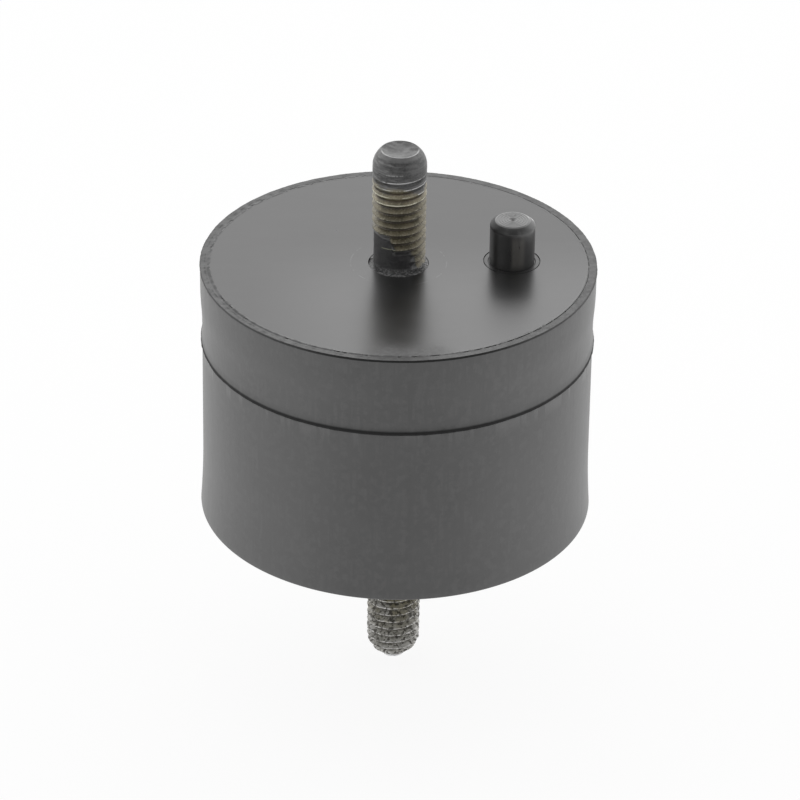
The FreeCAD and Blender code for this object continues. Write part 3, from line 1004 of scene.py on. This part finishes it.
def pin_finish():
    """Black-coated turned steel pin, semi-gloss; painted reflection strip in front, painted shade on
    chamfer, painted highlights.
    """
    f = Finish("black_pin")
    radius = f.from_axis(PIN_OFFSET)
    across = f.x - PIN_OFFSET
    height = f.z - SEAT_HEIGHT
    cloud = f.grain(3 * MM, 3)
    fine = f.grain(0.2 * MM, 2)
    run = f.grain(0.9 * MM, 2, vector=f.stretched(1, 1, 0.12))

    # A lighter vertical strip right of centre on the front, a painted reflection.
    strip_place = across.band(0.7 * MM, 0.7 * MM, 0.9 * MM) * height.band(3.6 * MM, 2.0 * MM, 2.0 * MM)
    painted_reflection_strip = strip_place * f.y.ramp(0, -1 * MM) * run.ramp(0.2, 0.5)
    # The chamfer, painted darker as shade.
    chamfer = height.ramp(PIN_HEIGHT - 1.4 * MM, PIN_HEIGHT - 1.0 * MM) * run.ramp(0.3, 0.55)
    top = height.ramp(PIN_HEIGHT - 0.25 * MM, PIN_HEIGHT - 0.12 * MM)
    # Painted highlights along the back and right of the top's rounded edge, where the bright edge line is.
    painted_edge_highlight = height.band(PIN_HEIGHT - 0.7 * MM, 0.12 * MM, 0.12 * MM) * across.ramp(2.3 * MM, 3.1 * MM)
    painted_back_highlight = (radius.band(3.0 * MM, 0.12 * MM, 0.1 * MM)
                 * height.ramp(PIN_HEIGHT - 0.3 * MM, PIN_HEIGHT - 0.2 * MM)
                 * across.ramp(-2.2 * MM, -1.6 * MM))
    # This is the painted highlight of the back-right edge, not wear.
    worn = painted_edge_highlight.at_least(0.5 * painted_back_highlight) * f.y.ramp(0.2 * MM, 0.9 * MM)
    seam = radius.ramp(4.25 * MM, 4.4 * MM)
    tone = f.coats(
        f.mix(cloud.ramp(0.3, 0.7), grey(0.026), grey(0.036)),
        (painted_reflection_strip, REFLECTION_GREY),
        (chamfer, grey(0.008)),
        (top, grey(0.15)),
        (worn, grey(0.6)),
        (seam, grey(0.02)))

    dull = 0.3 + 0.1 * (cloud - 0.5) + 0.1 * (run - 0.5)
    relief = 0.5 * fine + 0.5 * run
    gloss = f.principled(tone, dull, relief, relief_height=0.006 * MM, IOR=1.8)
    matt = f.principled(grey(0.02), 0.55, relief, relief_height=0.006 * MM, IOR=1.35)
    dulled = (height.ramp(PIN_HEIGHT - 1.5 * MM, PIN_HEIGHT - 1.1 * MM) * (1 - top)
              * across.ramp(-1.0 * MM, -2.4 * MM))
    return f.done(f.mix_shaders(dulled * 0.8, gloss, matt))


# ---------------------------------------------------------------- pieces

plate_coating = plate_finish()
for name in ("upper_plate", "lower_plate"):
    for held in frame["nodes"][name].material_slots:
        held.material = plate_coating

rubber_block(rubber_finish())
threaded_stud("upper_threaded_stud", UPPER, upper_stud_finish(), flash=upper_flash, pitting=0.05,
              cover=shank_cover)
threaded_stud("lower_threaded_stud", LOWER, lower_stud_finish(), flash=LOWER_FLASH, pitting=0.3)
locating_pin(pin_finish())


# ---------------------------------------------------------------- studio

FLOOR_RADIUS = 3.0
FLOOR_SEGMENTS = 64
FLOOR_PALE = 0.8
FLOOR_SHADE = 0.15
FLOOR_GLOW = 0.88
CAMERA_TURNS = (3.9266, 30.1769, 0.8635)  # azimuth, elevation and roll in degrees
CAMERA_DISTANCE = 888.483 * MM
CAMERA_CLIP = (0.05, 20)
AIM_HEIGHT = 20.7678 * MM
AIM_ACROSS = 0.652 * MM
FOCAL_LENGTH = 217.55
SENSOR_WIDTH = 36


def floor_finish():
    """Pale to the light that falls on it, white to the camera, in reflections white with painted shade
    ahead; clear from below.
    """
    f = Finish("studio_floor")
    camera = f.ray("Is Camera Ray")
    seen = camera.at_least(f.ray("Is Glossy Ray")).at_least(f.ray("Is Transmission Ray"))
    matt = f.node("ShaderNodeBsdfDiffuse", links={"Color": f.colour(grey(FLOOR_PALE))})
    shade = f.node("ShaderNodeBsdfDiffuse", links={"Color": f.colour(grey(FLOOR_SHADE))})
    ahead = (0 - f.y) / f.from_axis().at_least(1 * MM)
    # In reflections the floor's glow is dimmed ahead of the mount: painted shade for the dark front of the
    # studio.
    glossy_glow_shaded_ahead = 1 - 0.2 * ahead.ramp(0.55, 1.0)
    glow = f.node("ShaderNodeEmission", links={
        "Color": f.colour(grey(1)), "Strength": glossy_glow_shaded_ahead * (1 - camera) + FLOOR_GLOW * camera})
    shown = f.node("ShaderNodeAddShader", links={0: shade, 1: glow})
    upper = f.mix_shaders(seen, matt, shown)
    under = f.node("ShaderNodeNewGeometry", output="Backfacing")
    return f.done(f.mix_shaders(under * seen, upper, f.node("ShaderNodeBsdfTransparent")))


def studio_floor():
    """A white floor that keeps the mount's soft shadow."""
    mesh = bmesh.new()
    bmesh.ops.create_circle(mesh, cap_ends=True, cap_tris=True, segments=FLOOR_SEGMENTS,
                            radius=FLOOR_RADIUS, matrix=Matrix.Translation((0, 0, cad_box[0].z)))
    floor = new_object("studio_floor", mesh, floor_finish())


def studio_light():
    """Soft light from all round, brighter behind the mount and dimmer in front of it."""
    world = bpy.data.worlds.new("studio")
    bpy.context.scene.world = world
    nodes = Nodes(world)
    y, z = nodes.split(nodes.node("ShaderNodeTexCoord", output="Generated"))[1:]
    front = y.ramp(-0.45, -0.9)
    back = y.ramp(-0.2, 0.7)
    overhead = z.ramp(0.55, 0.9)
    level = 0.9 + 0.62 * back - 0.65 * front * z.ramp(-0.1, 0.1)
    strength = level * (1 - overhead) + (0.5 + 0.55 * y) * overhead
    seen = nodes.ray("Is Camera Ray")
    background = nodes.node("ShaderNodeBackground", links={
        "Color": (1, 1, 1, 1), "Strength": strength * (1 - seen) + seen})
    nodes.node("ShaderNodeOutputWorld", links={"Surface": background})


def studio_camera():
    """A long lens, in front of the mount and above it."""
    azimuth, elevation, roll = (math.radians(turn) for turn in CAMERA_TURNS)
    across = Vector((math.cos(azimuth), -math.sin(azimuth), 0))
    away = Vector((-math.sin(azimuth) * math.cos(elevation), -math.cos(azimuth) * math.cos(elevation),
                   math.sin(elevation)))
    aim = Vector((0, 0, AIM_HEIGHT)) + across * AIM_ACROSS
    turn = Matrix((across, away.cross(across), away)).transposed().to_4x4() @ Matrix.Rotation(roll, 4, "Z")
    lens = bpy.data.cameras.new("studio_camera")
    lens.lens, lens.sensor_width = FOCAL_LENGTH, SENSOR_WIDTH
    lens.clip_start, lens.clip_end = CAMERA_CLIP
    camera = bpy.data.objects.new("studio_camera", lens)
    camera.matrix_world = Matrix.Translation(aim + away * CAMERA_DISTANCE) @ turn
    bpy.context.scene.collection.objects.link(camera)
    bpy.context.scene.camera = camera


studio_floor()
studio_light()
studio_camera()
bpy.context.scene.view_settings.view_transform = "Standard"
